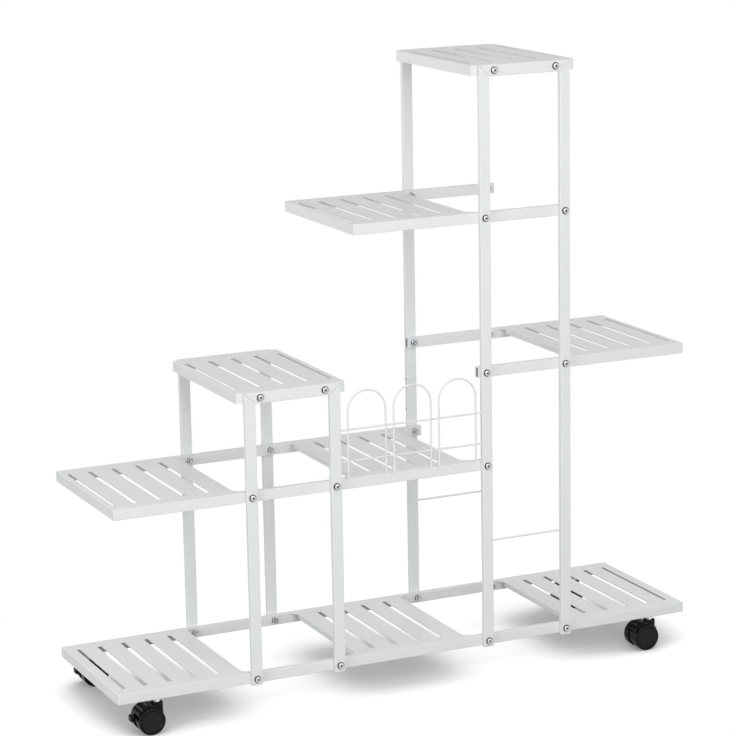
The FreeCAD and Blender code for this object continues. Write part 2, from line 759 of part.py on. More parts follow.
# A straight wire whose ends sit in the posts on either side.
def make_wire(name, left, right, y, z):
    wire = doc.addObject("Part::Cylinder", name)
    wire.setExpression("Radius", (d.wire_size / 2).text)
    start = post_x[left] + post_half - d.wire_entry
    stop = post_x[right] - post_half + d.wire_entry
    wire.setExpression("Height", (stop - start).text)
    return place(wire, start, y, z, 90, (0, 1, 0))


wire_y = -outer_face + d.wire_setback
guard_wires = doc.addObject("Part::Compound", "guard_wires")
guard_wires.Links = [make_wire(f"guard_wire_{k}", "b", "c", wire_y, z)
                     for k, z in enumerate(guard_heights, start=1)]
node("guard_wires", guard_wires)
cross_rods = doc.addObject("Part::Compound", "cross_rods")
cross_rods.Links = [make_wire(f"cross_rod_{side}", "c", "d", wire_y * -sign, rod_height)
                    for side, sign in sides.items()]
node("cross_rods", cross_rods)

# Casters. All their pieces are drawn about the middle of the wheel axis.
axle_z = d.wheel_size / 2
neck_top = d.caster_height - d.collar_height - d.run_gap - axle_z
stem_foot = d.neck_drop + d.bore_floor
wheel_start = d.web_width / 2 + d.run_gap
hood_inner = axle_z + d.hood_gap
hood_outer = hood_inner + d.hood_wall


# The stem with its collar, fixed in the rail.
def make_stem(label, x, y):
    body = new_body(label)
    profile = sketch_on(body, "XZ_Plane", label + "_profile")
    radius = d.stem_size / 2
    thread = d.thread_size / 2
    low = stem_foot + d.run_gap
    top = d.caster_height - axle_z
    high = top + d.stem_rise
    add_loop(profile, [
        (ZERO, low), (radius - d.stem_chamfer, low), (radius, low + d.stem_chamfer),
        (radius, top - d.collar_height), (d.collar_size / 2, top - d.collar_height),
        (d.collar_size / 2, top), (thread, top), (thread, high - d.stem_chamfer),
        (thread - d.stem_chamfer, high), (ZERO, high),
    ])
    revolve(body, profile)
    place(body, x, y, axle_z)
    return node(label, body)


# Moulded housing: a disc between the wheels, a hood over them and a sleeve
# for the stem. A braked caster has a slot with the lever's pivot.
def make_housing(label, x, y, braked):
    body = new_body(label)
    disc = sketch_on(body, "XZ_Plane", label + "_disc")
    add_circle(disc, 0, 0, d.web_radius * 2)
    pad(body, disc, d.web_width, both=True)
    start = (cos_of(d.hood_start), sin_of(d.hood_start))
    stop = (cos_of(d.hood_end), sin_of(d.hood_end))
    fan = sketch_on(body, "XZ_Plane", label + "_fan")
    add_loop(fan, [
        (ZERO, ZERO), (hood_outer * start[0], hood_outer * start[1]),
        (hood_outer * stop[0], hood_outer * stop[1]),
    ], {1: (hood_outer, 1)})
    pad(body, fan, d.web_width, both=True)
    hood = sketch_on(body, "XZ_Plane", label + "_hood")
    add_loop(hood, [
        (hood_outer * start[0], hood_outer * start[1]),
        (hood_outer * stop[0], hood_outer * stop[1]),
        (hood_inner * stop[0], hood_inner * stop[1]),
        (hood_inner * start[0], hood_inner * start[1]),
    ], {0: (hood_outer, 1), 2: (hood_inner, -1)})
    pad(body, hood, d.hood_width, both=True)
    neck = sketch_on(body, "XY_Plane", label + "_neck", d.neck_drop)
    half = d.neck_length / 2
    add_round_box(neck, d.caster_trail - half, -d.web_width / 2,
                  d.caster_trail + half, d.web_width / 2, d.neck_corner)
    pad(body, neck, neck_top - d.neck_drop)
    round_edges(body, label + "_hood_round", d.hood_round,
                lambda edge: edge.Curve.TypeId == "Part::GeomCircle"
                and round(edge.Curve.Radius - hood_outer.value, 3) == 0
                and (lies_at(edge, "y", d.hood_width / 2)
                     or lies_at(edge, "y", d.hood_width / -2)))
    round_edges(body, label + "_neck_round", d.neck_round,
                lambda edge: lies_at(edge, "z", neck_top))
    bore = sketch_on(body, "XY_Plane", label + "_bore", neck_top)
    add_circle(bore, d.caster_trail, 0, d.stem_size + d.stem_play * 2)
    pocket(body, bore, neck_top - stem_foot)
    axle = sketch_on(body, "XZ_Plane", label + "_axle_bore")
    add_circle(axle, 0, 0, d.axle_size + d.axle_play * 2)
    pocket(body, axle, d.web_width + d.overrun, both=True)
    if braked:
        slot = sketch_on(body, "XZ_Plane", label + "_lever_slot")
        add_box(slot, -d.tab_start, d.slot_floor, -d.pivot_back + d.slot_depth, d.slot_roof)
        pocket(body, slot, d.lever_slot, both=True)
        pivot = sketch_on(body, "XZ_Plane", label + "_pivot_holes")
        add_circle(pivot, -d.pivot_back, d.pivot_rise, d.pivot_size + d.pivot_play * 2)
        pocket(body, pivot, d.web_width + d.overrun, both=True)
    place(body, x - d.caster_trail, y, axle_z)
    return node(label, body)


# A wheel with a rounded tread shoulder and a sunk disc inside a raised ring.
def make_wheel(label, x, y, outward):
    body = new_body(label)
    profile = sketch_on(body, "XY_Plane", label + "_profile")
    radius = d.wheel_size / 2
    ring = radius - d.wheel_shoulder - d.face_rim
    add_loop(profile, [
        (d.axle_size / 2, ZERO), (radius - d.wheel_bevel, ZERO), (radius, d.wheel_bevel),
        (radius, d.wheel_width - d.wheel_shoulder),
        (radius - d.wheel_shoulder, d.wheel_width), (ring, d.wheel_width),
        (ring - d.face_sink, d.wheel_width - d.face_sink),
        (ZERO, d.wheel_width - d.face_sink), (ZERO, d.axle_seat),
        (d.axle_size / 2, d.axle_seat),
    ], {3: (d.wheel_shoulder, 1)})
    revolve(body, profile)
    place(body, x - d.caster_trail, y + wheel_start * outward, axle_z, 0 if outward > 0 else 180)
    return node(label, body)


def make_axle(label, x, y):
    axle = doc.addObject("Part::Cylinder", label)
    half = wheel_start + d.axle_seat
    axle.setExpression("Radius", (d.axle_size / 2).text)
    axle.setExpression("Height", (half * 2).text)
    place(axle, x - d.caster_trail, y + half, axle_z, 90, (1, 0, 0))
    return node(label, axle)


# The brake lever: a root that turns on its pivot and a tab for the foot.
def make_lever(label, x, y):
    body = new_body(label)
    half = d.barrel_size / 2
    arm = sketch_on(body, "XZ_Plane", label + "_arm")
    add_loop(arm, [
        (-d.pivot_back, d.pivot_rise + half), (-d.tab_start - d.tab_corner, d.pivot_rise + half),
        (-d.tab_start - d.tab_corner, d.pivot_rise - half), (-d.pivot_back, d.pivot_rise - half),
        (-d.pivot_back + half, d.pivot_rise),
    ], {3: (half, 1), 4: (half, 1)})
    pad(body, arm, d.lever_slot - d.run_gap * 2, both=True)
    tab = sketch_on(body, "XZ_Plane", label + "_tab")
    add_loop(tab, [
        (-d.tab_start, d.tab_top), (-d.tab_end + d.tab_corner, d.tab_top),
        (-d.tab_end, d.tab_top - d.tab_corner), (-d.tab_end, -d.tab_bottom + d.tab_corner),
        (-d.tab_end + d.tab_corner, -d.tab_bottom), (-d.tab_start, -d.tab_bottom),
    ], {1: (d.tab_corner, 1), 3: (d.tab_corner, 1)})
    pad(body, tab, d.tab_width, both=True)
    pivot = sketch_on(body, "XZ_Plane", label + "_pivot")
    add_circle(pivot, -d.pivot_back, d.pivot_rise, d.pivot_size)
    pad(body, pivot, d.pivot_length, both=True)
    place(body, x - d.caster_trail, y, axle_z)
    return node(label, body)


rail_middle = half_depth - d.rail_depth / 2
for end, x in stem_x.items():
    for side, sign in sides.items():
        name = f"caster_{side}_{end}"
        y = rail_middle * sign
        make_stem(name + "_stem", x, y)
        make_housing(name + "_housing", x, y, end == "left")
        make_axle(name + "_axle", x, y)
        make_wheel(name + "_wheel_front", x, y, -1)
        make_wheel(name + "_wheel_rear", x, y, 1)
        if end == "left":
            make_lever(name + "_lever", x, y)

doc.recompute()

for thing in doc.Objects:
    if "Invalid" in thing.State or "Error" in thing.State:
        raise RuntimeError(f"{thing.Name} failed: {thing.State}")
for before, cut in cuts:
    if before.Shape.Volume - cut.Shape.Volume <= 0:
        raise RuntimeError(f"{cut.Name} takes nothing off")
for thing in nodes:
    shape = thing.Shape
    if shape.isNull() or not shape.isValid() or not shape.Solids:
        raise RuntimeError(f"{thing.Label} has no valid solid")
for thing in nodes:
    thing.Shape.exportStep(f"parts/{thing.Label}.step")
print(len(nodes), "nodes,", sum(len(t.Shape.Solids) for t in nodes), "solids")
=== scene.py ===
import json
import math
import bpy
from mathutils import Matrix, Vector


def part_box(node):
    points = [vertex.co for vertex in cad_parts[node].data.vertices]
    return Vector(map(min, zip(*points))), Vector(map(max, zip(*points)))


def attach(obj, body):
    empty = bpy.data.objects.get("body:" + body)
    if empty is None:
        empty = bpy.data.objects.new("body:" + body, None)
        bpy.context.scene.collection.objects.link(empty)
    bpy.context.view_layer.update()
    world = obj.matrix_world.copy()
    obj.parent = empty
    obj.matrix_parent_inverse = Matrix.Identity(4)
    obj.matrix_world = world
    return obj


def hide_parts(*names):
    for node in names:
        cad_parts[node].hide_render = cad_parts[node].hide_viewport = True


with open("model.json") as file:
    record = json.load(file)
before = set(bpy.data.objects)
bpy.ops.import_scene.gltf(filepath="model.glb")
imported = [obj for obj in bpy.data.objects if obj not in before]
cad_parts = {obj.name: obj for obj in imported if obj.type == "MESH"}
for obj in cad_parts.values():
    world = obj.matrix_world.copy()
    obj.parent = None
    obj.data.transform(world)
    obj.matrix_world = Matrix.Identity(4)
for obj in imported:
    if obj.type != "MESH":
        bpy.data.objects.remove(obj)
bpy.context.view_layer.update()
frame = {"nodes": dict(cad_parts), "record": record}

nodes = frame["nodes"]
tiny = 1e-6  # two places nearer than this are the same
facing = 0.9  # a normal with this much of an axis points along it
quarter = math.pi / 2  # a quarter of a turn
print("frame loaded:", len(nodes), "nodes")


def objectMode():
    bpy.ops.object.mode_set(mode="OBJECT")


def editMode():
    bpy.ops.object.mode_set(mode="EDIT")


def deselectAll():
    if bpy.context.mode != "OBJECT":
        objectMode()
    bpy.ops.object.select_all(action="DESELECT")


def activate(piece):
    deselectAll()
    piece.select_set(True)
    bpy.context.view_layer.objects.active = piece


def named(name):
    piece = bpy.context.object
    piece.name = name
    piece.data.name = name
    return piece


# leaves the piece in object mode with nothing picked in its mesh
def clearPick(piece, kind):
    activate(piece)
    editMode()
    bpy.ops.mesh.select_mode(type=kind)
    bpy.ops.mesh.select_all(action="DESELECT")
    objectMode()


# goes into edit mode with only the faces that the test picks
def pickFaces(piece, test):
    clearPick(piece, "FACE")
    for face in piece.data.polygons:
        face.select = test(face)
    editMode()


# the same for edges, tested by their two ends
def pickEdges(piece, test):
    clearPick(piece, "EDGE")
    points = piece.data.vertices
    for edge in piece.data.edges:
        edge.select = test(points[edge.vertices[0]].co, points[edge.vertices[1]].co)
    editMode()


# moves the picked face up by a step and widens or narrows it
def growBy(step, factor):
    bpy.ops.mesh.extrude_region_move(TRANSFORM_OT_translate={"value": (0, 0, step)})
    bpy.ops.transform.resize(value=(factor, factor, 1), center_override=(0, 0, 0))


def applyAll(piece):
    activate(piece)
    for modifier in list(piece.modifiers):
        bpy.ops.object.modifier_apply(modifier=modifier.name)


def shapeWith(piece, tool, operation):
    modifier = piece.modifiers.new("shape", "BOOLEAN")
    modifier.operation = operation
    modifier.solver = "EXACT"
    modifier.object = tool
    applyAll(piece)
    bpy.data.objects.remove(tool)


# puts the object's place into its mesh
def settle(piece):
    activate(piece)
    bpy.ops.object.transform_apply(location=True, rotation=True, scale=True)


def smoothBy(piece, degrees):
    activate(piece)
    bpy.ops.object.shade_smooth_by_angle(angle=math.radians(degrees))


def copyTo(piece, name, place, turn=(0, 0, 0)):
    copy = piece.copy()
    copy.data = piece.data.copy()
    copy.name = name
    bpy.context.scene.collection.objects.link(copy)
    copy.location = place
    copy.rotation_euler = turn
    settle(copy)
    return copy


def joinAs(pieces, name):
    deselectAll()
    for piece in pieces:
        piece.select_set(True)
    bpy.context.view_layer.objects.active = pieces[0]
    bpy.ops.object.join()
    return named(name)


# one mesh of many copies, riding on the frame
def scatter(master, name, spots, replaced=None):
    copies = [copyTo(master, name + str(k), place, turn) for k, (place, turn) in enumerate(spots)]
    bpy.data.objects.remove(master)
    piece = joinAs(copies, name)
    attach(piece, "frame")
    if replaced:
        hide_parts(replaced)
    print(name, "made,", len(spots), "copies")
    return piece


def addBox(centre, size):
    deselectAll()
    bpy.ops.mesh.primitive_cube_add(size=1, location=centre)
    box = bpy.context.object
    box.scale = size
    settle(box)
    return box


def middleOf(node, axis):
    low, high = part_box(node)
    return (low[axis] + high[axis]) / 2


# the radius at the corners of a hexagon, from its width over the flats
def hexRadius(flats):
    return flats / 2 / math.cos(math.pi / 6)


class Socket:
    def __init__(self, socket):
        self.socket = socket

    def calc(self, operation, first, second):
        made = addNode(self.socket.id_data, "ShaderNodeMath",
                       {"operation": operation}, {0: first, 1: second})
        return made["Value"]

    def __add__(self, other):
        return self.calc("ADD", self, other)

    def __radd__(self, other):
        return self.calc("ADD", other, self)

    def __sub__(self, other):
        return self.calc("SUBTRACT", self, other)

    def __rsub__(self, other):
        return self.calc("SUBTRACT", other, self)

    def __mul__(self, other):
        return self.calc("MULTIPLY", self, other)

    def __rmul__(self, other):
        return self.calc("MULTIPLY", other, self)


# any node: its type, its settings, then values or links of its sockets
def addNode(tree, kind, settings=None, sockets=None):
    made = tree.nodes.new(kind)
    for key, value in (settings or {}).items():
        setattr(made, key, value)
    for key, value in (sockets or {}).items():
        if isinstance(value, Socket):
            tree.links.new(value.socket, made.inputs[key])
        else:
            made.inputs[key].default_value = value
    return {s.name: Socket(s) for s in made.outputs if s.enabled}


def newFinish(name):
    material = bpy.data.materials.new(name)
    material.use_nodes = True
    material.node_tree.nodes.clear()
    return material, material.node_tree


def endFinish(tree, shader):
    addNode(tree, "ShaderNodeOutputMaterial", None, {"Surface": shader})


def objectPoint(tree):
    return addNode(tree, "ShaderNodeTexCoord")["Object"]


def cloud(tree, point, scale, detail, rough=0.5):
    return addNode(tree, "ShaderNodeTexNoise", None, {
        "Vector": point, "Scale": scale, "Detail": detail, "Roughness": rough})["Fac"]


def blend(tree, factor, first, second):
    return addNode(tree, "ShaderNodeMix", {"data_type": "RGBA"},
                   {0: factor, 6: first, 7: second})["Result"]


def bumpBy(tree, strength, distance, height):
    return addNode(tree, "ShaderNodeBump", None, {
        "Strength": strength, "Distance": distance, "Height": height})["Normal"]


# fine orange peel and slow drift of a sprayed and baked coat
powderCoat = {
    "drift": {"scale": 7.0, "detail": 3.0}, "peel": {"scale": 620.0, "detail": 1.0},
    "grain": {"scale": 2600.0, "detail": 2.0}, "grainInTone": 0.25, "grainInBump": 0.2,
    "bump": 0.55, "peelHeight": 0.00009, "roughness": 0.36, "roughSpread": 0.14,
}
coatTones = {
    "satinWhitePowder": {"light": (0.850, 0.860, 0.862, 1), "shade": (0.812, 0.826, 0.830, 1)},
    # darker paint for the mitre beads, painted shade of the mitre line
    "seamPaintedShade": {"light": (0.73, 0.74, 0.745, 1), "shade": (0.65, 0.66, 0.665, 1)},
}


def makePowderCoat(name):
    s, tones = powderCoat, coatTones[name]
    material, tree = newFinish(name)
    point = objectPoint(tree)
    drift = cloud(tree, point, **s["drift"])
    peel = cloud(tree, point, **s["peel"])
    grain = cloud(tree, point, **s["grain"])
    tone = drift * (1 - s["grainInTone"]) + grain * s["grainInTone"]
    height = peel * (1 - s["grainInBump"]) + grain * s["grainInBump"]
    shader = addNode(tree, "ShaderNodeBsdfPrincipled", None, {
        "Base Color": blend(tree, tone, tones["light"], tones["shade"]),
        "Roughness": s["roughness"] + s["roughSpread"] * (peel * 0.5 + drift * 0.5),
        "Normal": bumpBy(tree, s["bump"], s["peelHeight"], height)})
    endFinish(tree, shader["BSDF"])
    return material


# metal with fine scratches and slow patches
plating = {
    "scratch": {"scale": 900.0, "detail": 4.0, "rough": 0.65}, "patch": {"scale": 220.0, "detail": 2.0},
    "patchInTone": 0.4, "bump": 0.3, "scratchHeight": 0.00003, "roughSpread": 0.16,
}
platingTones = {
    "brightZinc": {"bright": (0.68, 0.69, 0.70, 1), "dull": (0.50, 0.51, 0.53, 1), "rough": 0.22},
    # very dark zinc: painted dark reflection on the bolt heads' outer rings, painted shade on their
    # threads and in the posts' holes
    "zincPaintedShade": {"bright": (0.085, 0.087, 0.09, 1), "dull": (0.035, 0.036, 0.038, 1), "rough": 0.4},
    # zinc painted darker, as painted shade in the hex sockets
    "socketPaintedShade": {"bright": (0.30, 0.305, 0.31, 1), "dull": (0.16, 0.163, 0.167, 1), "rough": 0.42},
    # zinc painted darker, as shade and dark reflection on the nuts' side flats
    "flankPaintedShade": {"bright": (0.22, 0.223, 0.23, 1), "dull": (0.10, 0.102, 0.106, 1), "rough": 0.3},
    "plainSteel": {"bright": (0.76, 0.76, 0.77, 1), "dull": (0.62, 0.62, 0.63, 1), "rough": 0.2},
    "bareTubeInside": {"bright": (0.62, 0.62, 0.625, 1), "dull": (0.50, 0.50, 0.505, 1), "rough": 0.6},
}


def makePlating(name):
    s, tones = plating, platingTones[name]
    material, tree = newFinish(name)
    point = objectPoint(tree)
    scratch = cloud(tree, point, **s["scratch"])
    patch = cloud(tree, point, **s["patch"])
    tone = scratch * (1 - s["patchInTone"]) + patch * s["patchInTone"]
    shader = addNode(tree, "ShaderNodeBsdfPrincipled", None, {
        "Base Color": blend(tree, tone, tones["bright"], tones["dull"]), "Metallic": 1.0,
        "Roughness": tones["rough"] + s["roughSpread"] * scratch,
        "Normal": bumpBy(tree, s["bump"], s["scratchHeight"], scratch)})
    endFinish(tree, shader["BSDF"])
    return material


# black plastic with a fine grain and the slow flow of the melt
moulding = {
    "grain": {"scale": 1900.0, "detail": 3.0}, "flow": {"scale": 70.0, "detail": 2.0},
    "flowInTone": 0.3, "grainInTone": 0.2, "bump": 0.35, "grainHeight": 0.00003,
    "roughSpread": 0.06, "gloss": 0.11,
}
mouldingTones = {
    "mouldedHousing": {
        "dark": (0.004, 0.004, 0.0042, 1), "worn": (0.008, 0.008, 0.0083, 1), "rough": 0.12},
    "mouldedWheel": {
        # on the wheels the lighter colour is reached on the discs, where it is painted light
        "dark": (0.002, 0.002, 0.0021, 1), "worn": (0.019, 0.019, 0.0194, 1), "rough": 0.08},
}
# the flat discs inside the wheels' rings are duller than the rings; their lighter colour is painted,
# standing in for the dark reflections on the glossy rings
leftAxleX = middleOf("caster_front_left_axle", 0)
rightAxleX = middleOf("caster_front_right_axle", 0)
wheelDisc = {
    "middle": (leftAxleX + rightAxleX) / 2, "half": (rightAxleX - leftAxleX) / 2,
    "height": middleOf("caster_front_left_axle", 2), "radius": 0.0168, "edge": 0.0006,
    "paintedLighter": 0.5, "rougher": 0.38,
}


# 1 on the discs of the left and right wheels, whose axles lie evenly about the middle
def makeDiscMask(tree, point):
    s = wheelDisc
    split = addNode(tree, "ShaderNodeSeparateXYZ", None, {"Vector": point})
    side = addNode(tree, "ShaderNodeMath", {"operation": "ABSOLUTE"}, {
        0: split["X"] - s["middle"]})["Value"] - s["half"]
    rise = split["Z"] - s["height"]
    return addNode(tree, "ShaderNodeMapRange", None, {
        "Value": side * side + rise * rise, "From Min": s["radius"] ** 2,
        "From Max": (s["radius"] - s["edge"]) ** 2})["Result"]


def makeMoulding(name, hasDisc=False):
    s, tones = moulding, mouldingTones[name]
    material, tree = newFinish(name)
    point = objectPoint(tree)
    grain = cloud(tree, point, **s["grain"])
    flow = cloud(tree, point, **s["flow"])
    tone = flow * s["flowInTone"] + grain * s["grainInTone"]
    rough = tones["rough"] + s["roughSpread"] * grain
    if hasDisc:
        disc = makeDiscMask(tree, point)
        # painted lighter tone on the discs
        tone = tone + wheelDisc["paintedLighter"] * disc
        rough = rough + wheelDisc["rougher"] * disc
    shader = addNode(tree, "ShaderNodeBsdfPrincipled", None, {
        "Base Color": blend(tree, tone, tones["dark"], tones["worn"]),
        "Specular IOR Level": s["gloss"], "Roughness": rough,
        "Normal": bumpBy(tree, s["bump"], s["grainHeight"], grain)})
    endFinish(tree, shader["BSDF"])
    return material


whiteFinish = makePowderCoat("satinWhitePowder")
paintedSeamShadeFinish = makePowderCoat("seamPaintedShade")
zincFinish = makePlating("brightZinc")
paintedShadeFinish = makePlating("zincPaintedShade")
paintedSocketShadeFinish = makePlating("socketPaintedShade")
paintedFlankShadeFinish = makePlating("flankPaintedShade")
steelFinish = makePlating("plainSteel")
bareFinish = makePlating("bareTubeInside")
housingFinish = makeMoulding("mouldedHousing")
wheelFinish = makeMoulding("mouldedWheel", hasDisc=True)
print("finishes made")

slotFinish = {
    "white_paint": whiteFinish, "bright_zinc": zincFinish, "steel": steelFinish,
    "black_housing": housingFinish, "black_wheel": wheelFinish,
}
for row in frame["record"]["subparts"]:
    mesh = nodes[row["node"]].data
    mesh.materials.clear()
    mesh.materials.append(slotFinish[row["material_slot"]])
print("finishes on the frame")

# each post's tower and hand, and the rails that it crosses
postRails = (
    ("low", "left", ("bottom", "middle")),
    ("low", "right", ("bottom", "middle")),
    ("tall", "left", ("bottom", "middle", "right", "upper")),
    ("tall", "right", ("bottom", "right", "upper")),
)
# turns a piece that stands on z = 0 out of the front or the rear
faceTurn = {"front": (quarter, 0, 0), "rear": (-quarter, 0, 0)}


def outerFace(side):
    low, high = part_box("low_" + side + "_top_bar")
    return low[1] if side == "front" else high[1]


def innerFace(node, side):
    low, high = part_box(node)
    return high[1] if side == "front" else low[1]


# button-head bolt along its own z, head up, standing on z = 0
boltSpec = {
    "sides": 32, "headRadius": 0.00575, "seat": 0.0007, "crown": 0.0032, "flatRadius": 0.0028,
    "domeSteps": 5, "paintedRingRadius": 0.0047, "socketFlats": 0.0040, "socketDepth": 0.0019,
    "socketLip": 0.00012, "socketReach": 0.0024, "shankRadius": 0.0030, "threadDepth": 0.0003,
    "threadPitch": 0.0006, "threadTurns": 3, "tipTaper": 0.86, "smooth": 32,
    "railLength": 0.0236, "trayLength": 0.0151, "trayInset": 0.017, "traySheet": 0.0015,
}


def makeBolt(name, length):
    s = boltSpec
    deselectAll()
    bpy.ops.mesh.primitive_circle_add(
        vertices=s["sides"], radius=s["headRadius"], fill_type="NGON", location=(0, 0, 0))
    bolt = named(name)
    pickFaces(bolt, lambda face: True)
    growBy(s["seat"], 1.0)
    radius, rise = s["headRadius"], s["seat"]
    for k in range(1, s["domeSteps"] + 1):
        angle = k / s["domeSteps"] * quarter
        wide = s["flatRadius"] + (s["headRadius"] - s["flatRadius"]) * math.cos(angle)
        high = s["seat"] + (s["crown"] - s["seat"]) * math.sin(angle)
        growBy(high - rise, wide / radius)
        radius, rise = wide, high
    bpy.ops.mesh.inset(thickness=s["socketLip"], depth=0)
    pickFaces(bolt, lambda face: face.normal.z < -facing and abs(face.center.z) < tiny)
    bpy.ops.mesh.inset(thickness=s["headRadius"] - s["shankRadius"], depth=0)
    threadTop = s["threadPitch"] * s["threadTurns"] - length
    growBy(threadTop, 1.0)
    inward = 1 - s["threadDepth"] / s["shankRadius"]
    for k in range(s["threadTurns"]):  # thread that shows past the nut
        last = k == s["threadTurns"] - 1
        growBy(-s["threadPitch"] / 2, inward)
        growBy(-s["threadPitch"] / 2, s["tipTaper"] if last else 1 / inward)
    bpy.ops.mesh.select_all(action="SELECT")
    bpy.ops.mesh.normals_make_consistent(inside=False)
    deselectAll()
    bpy.ops.mesh.primitive_cylinder_add(
        vertices=6, radius=hexRadius(s["socketFlats"]), depth=s["socketDepth"] * 2,
        location=(0, 0, s["crown"]))
    shapeWith(bolt, bpy.context.object, "DIFFERENCE")
    for finish in (zincFinish, paintedSocketShadeFinish, paintedShadeFinish):
        bolt.data.materials.append(finish)
    for face in bolt.data.polygons:
        away = math.hypot(face.center.x, face.center.y)
        # painted shade in the hex socket
        if 0 < face.center.z < s["crown"] - tiny and away < s["socketReach"]:
            face.material_index = 1
        # painted dark reflection and shade on the outer ring of the head
        elif face.center.z > 0 and away > s["paintedRingRadius"]:
            face.material_index = 2
        # painted shade on the thread that shows past the nut
        elif face.center.z < threadTop and face.normal.z > -facing:
            face.material_index = 2
    smoothBy(bolt, s["smooth"])
    return bolt


railSpots, traySpots, nutSpots = [], [], []
for tower, hand, levels in postRails:
    for side, turn in faceTurn.items():
        x = middleOf(tower + "_" + side + "_post_" + hand, 0)
        for level in levels:
            rail = level + "_rail_" + side
            z = middleOf(rail, 2)
            railSpots.append(((x, outerFace(side), z), turn))
            nutSpots.append(((x, innerFace(rail, side), z), turn))
        bar = tower + "_" + side + "_top_bar"
        z = middleOf(bar, 2)
        x += boltSpec["trayInset"] if hand == "left" else -boltSpec["trayInset"]
        sheet = boltSpec["traySheet"] if side == "front" else -boltSpec["traySheet"]
        traySpots.append(((x, outerFace(side), z), turn))
        nutSpots.append(((x, innerFace(bar, side) + sheet, z), turn))
scatter(makeBolt("railBolt", boltSpec["railLength"]), "railBolts", railSpots,
        "rail_bolts")
scatter(makeBolt("trayBolt", boltSpec["trayLength"]), "trayBolts", traySpots,
        "tray_bolts")

# hexagon nut with chamfered corners and a countersunk bore
nutSpec = {
    "flats": 0.010, "height": 0.0044, "bore": 0.00305, "boreSides": 24, "boreSlack": 0.00006,
    "chamfer": 0.0009, "sink": 0.0005, "turnedRadius": 0.00565, "turnedSides": 40,
    "flankRadius": 0.00475, "flankTilt": 0.2, "smooth": 30,
}


# the nut is drawn below z = 0, so it lies inside of the face that it sits on
def makeNut(name):
    s = nutSpec
    middle = -s["height"] / 2
    deselectAll()
    bpy.ops.mesh.primitive_cylinder_add(
        vertices=6, radius=hexRadius(s["flats"]), depth=s["height"], location=(0, 0, middle))
    nut = named(name)
    settle(nut)
    deselectAll()
    bpy.ops.mesh.primitive_cylinder_add(
        vertices=s["turnedSides"], radius=s["turnedRadius"], depth=s["height"],
        location=(0, 0, middle))
    turned = bpy.context.object
    settle(turned)
    pickEdges(turned, lambda a, b: abs(a.z - b.z) < tiny and a.z < middle)
    bpy.ops.mesh.bevel(offset=s["chamfer"], segments=2, affect="EDGES")
    shapeWith(nut, turned, "INTERSECT")
    deselectAll()
    bpy.ops.mesh.primitive_cylinder_add(
        vertices=s["boreSides"], radius=s["bore"], depth=s["height"] * 2, location=(0, 0, middle))
    shapeWith(nut, bpy.context.object, "DIFFERENCE")
    reach = s["bore"] + s["boreSlack"]
    pickEdges(nut, lambda a, b: all(math.hypot(v.x, v.y) < reach for v in (a, b))
              and abs(a.z - b.z) < tiny and a.z < middle)
    bpy.ops.mesh.bevel(offset=s["sink"], segments=1, affect="EDGES")
    objectMode()
    nut.data.materials.append(zincFinish)
    nut.data.materials.append(paintedFlankShadeFinish)
    # the side flats get painted shade and dark reflection, the chamfers stay bright
    for face in nut.data.polygons:
        outside = math.hypot(face.center.x, face.center.y) > s["flankRadius"]
        if outside and abs(face.normal.z) < s["flankTilt"]:
            face.material_index = 1
    smoothBy(nut, s["smooth"])
    return nut


scatter(makeNut("hexNut"), "hexNuts", nutSpots, "nuts")

# bead of weld along the mitres of the tower frames, ground nearly flush, in darker paint that is
# painted shade of the mitre line
mitreSpec = {
    "width": 0.0015, "proud": 0.00022, "sunk": 0.0003, "steps": 9, "trim": 0.0012, "wave": 0.0001,
    "edgeRound": 0.000176, "smooth": 40,
}


def makeMitreBead(name, length):
    s = mitreSpec
    deselectAll()
    bpy.ops.mesh.primitive_cube_add(size=1, location=(0, 0, 0))
    bead = named(name)
    bead.scale = (length, s["width"], s["proud"] + s["sunk"])
    bead.location = (0, 0, (s["proud"] - s["sunk"]) / 2)
    settle(bead)
    pickEdges(bead, lambda a, b: abs(a.x - b.x) > length / 2)
    bpy.ops.mesh.subdivide(number_cuts=s["steps"])
    gap = length / (s["steps"] + 1)
    # every second ridge stands up, as the ripples of a hand-run bead
    pickEdges(bead, lambda a, b: a.z > 0 and b.z > 0 and abs(a.x - b.x) < gap / 2
              and round((a.x + length / 2) / gap) % 2 == 1)
    bpy.ops.transform.translate(value=(0, 0, s["wave"]))
    pickEdges(bead, lambda a, b: a.z > 0 and b.z > 0 and abs(a.y - b.y) < tiny)
    bpy.ops.mesh.bevel(offset=s["edgeRound"], segments=2, affect="EDGES")
    objectMode()
    bead.data.materials.append(paintedSeamShadeFinish)
    smoothBy(bead, s["smooth"])
    return bead


postLow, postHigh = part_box("low_front_post_left")
postWide = postHigh[0] - postLow[0]
mitreSpots = []
for tower in ("low", "tall"):
    for side in ("front", "rear"):
        for hand, lean in (("left", 1), ("right", -1)):
            post = tower + "_" + side + "_post_" + hand
            centre = (middleOf(post, 0), outerFace(side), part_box(post)[1][2] - postWide / 2)
            # the bead climbs from the inner corner to the outer one
            mitreSpots.append((centre, (faceTurn[side][0], quarter / 2 * lean, 0)))
mitreLength = postWide * math.sqrt(2) - mitreSpec["trim"] * 2
scatter(makeMitreBead("mitreBead", mitreLength), "mitreBeads", mitreSpots)

# small welds where the legs of the guard cross its wires
weldSpec = {
    "radius": 0.0017, "flat": 0.62, "tall": 1.25, "drawn": 1.2, "drawnBand": 0.000765,
    "segments": 16, "rings": 10, "smooth": 60, "archPitch": 0.0788, "archHalf": 0.0325,
}


